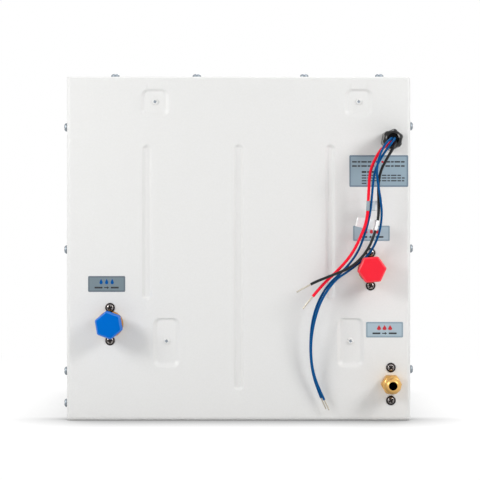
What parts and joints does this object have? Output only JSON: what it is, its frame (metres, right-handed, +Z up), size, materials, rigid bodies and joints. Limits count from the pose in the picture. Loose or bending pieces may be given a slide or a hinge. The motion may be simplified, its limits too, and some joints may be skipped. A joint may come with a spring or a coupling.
{
  "type": "built-in propane water heater",
  "caption": "Square white steel propane water heater for building in: capped water fittings, flare gas inlet, cable gland with loose wires, hinged louvred door, burner, fan and controls.",
  "frame": {"origin": "middle of the footprint of the whole heater without its loose wires, on the surface it stands on", "axes": "+Z up; the side with the water, gas and cable connections faces -Y and the door faces +Y; X runs along the width, with the hot connection at +X"},
  "size_m": [0.3284, 0.3778, 0.3252],
  "materials": {
    "white_paint": "white powder coat, satin",
    "zinc_steel": "zinc-plated, worn bright",
    "brass": "turned",
    "cast_alloy": "as cast",
    "blue_plastic": "moulded, satin",
    "red_plastic": "moulded, satin",
    "black_nylon": "moulded, slight sheen",
    "black_rubber": "matte",
    "blue_insulation": "extruded PVC",
    "red_insulation": "extruded PVC",
    "black_insulation": "extruded PVC",
    "white_film": "blank adhesive film",
    "copper": "bare copper",
    "galvanised_steel": "zinc-coated sheet",
    "stainless_steel": "brushed",
    "ceramic": "glazed ceramic",
    "black_paint": "black enamel",
    "white_plastic": "moulded",
    "grey_plastic": "moulded, fine grain",
    "green_board": "solder mask"
  },
  "bodies": {
    "cabinet": {"rear_cover": "white_paint", "case_wrap": "white_paint", "top_plate": "white_paint", "front_frame": "white_paint", "flange_screws": "zinc_steel", "pad_screws": "zinc_steel", "fitting_screws": "zinc_steel", "cold_fitting": "brass", "hot_fitting": "brass", "gas_fitting": "brass", "flow_sensor_body": "brass", "drain_plug": "brass", "gas_valve": "cast_alloy", "gland_body": "black_nylon", "gland_nut": "black_nylon", "gland_locknut": "black_nylon", "gland_seal": "black_rubber", "wire_blue_right": "blue_insulation", "wire_blue_left": "blue_insulation", "wire_red": "red_insulation", "wire_black": "black_insulation", "tag_red_wire": "white_film", "tag_black_wire": "white_film", "combustion_chamber": "copper", "fin_pack": "copper", "water_tubes": "copper", "inlet_pipe": "copper", "outlet_pipe": "copper", "exhaust_hood": "galvanised_steel", "burner_tray": "galvanised_steel", "burner_bars": "stainless_steel", "gas_manifold": "cast_alloy", "electrodes": "ceramic", "overheat_switch": "black_nylon", "core_brackets": "galvanised_steel", "fan_housing": "galvanised_steel", "fan_motor": "black_paint", "outlet_thermistor": "stainless_steel", "gas_pipe": "galvanised_steel", "valve_coils": "black_nylon", "control_box": "grey_plastic", "control_cover": "grey_plastic", "circuit_board": "green_board", "switch_bezel": "black_nylon", "igniter": "grey_plastic", "hinge_frame_leaves": "stainless_steel", "hinge_pins": "stainless_steel"},
    "door": {"door_panel": "white_paint", "outlet_grille": "stainless_steel", "hinge_door_leaves": "stainless_steel", "latch_bezel": "black_nylon"},
    "latch": {"latch_knob": "black_nylon", "latch_cam": "zinc_steel"},
    "cold_cap_body": {"cold_cap": "blue_plastic"},
    "hot_cap_body": {"hot_cap": "red_plastic"},
    "fan_wheel": {"fan_impeller": "galvanised_steel"},
    "turbine": {"flow_turbine": "white_plastic"},
    "rocker": {"switch_rocker": "black_nylon"}
  },
  "joints": [
    {"name": "door_hinge", "type": "hinge", "parent": "cabinet", "child": "door", "pos_m": [-0.149, 0.17635, 0.161], "axis": [0, 0, 1], "range_deg": [0, 110]},
    {"name": "latch_turn", "type": "hinge", "parent": "door", "child": "latch", "pos_m": [0.127, 0.17275, 0.161], "axis": [0, 1, 0], "range_deg": [0, 90]},
    {"name": "cold_cap_pull", "type": "slide", "parent": "cabinet", "child": "cold_cap_body", "axis": [0, -1, 0], "range_m": [0, 0.045]},
    {"name": "hot_cap_pull", "type": "slide", "parent": "cabinet", "child": "hot_cap_body", "axis": [0, -1, 0], "range_m": [0, 0.045]},
    {"name": "fan_spin", "type": "hinge", "parent": "cabinet", "child": "fan_wheel", "pos_m": [-0.015, -0.01725, 0.062], "axis": [1, 0, 0], "continuous": true},
    {"name": "turbine_spin", "type": "hinge", "parent": "cabinet", "child": "turbine", "pos_m": [-0.1203, -0.10825, 0.0901], "axis": [0, 1, 0], "continuous": true},
    {"name": "rocker_tip", "type": "hinge", "parent": "cabinet", "child": "rocker", "pos_m": [0.133, 0.13325, 0.262], "axis": [1, 0, 0], "range_deg": [0, 20]}
  ]
}
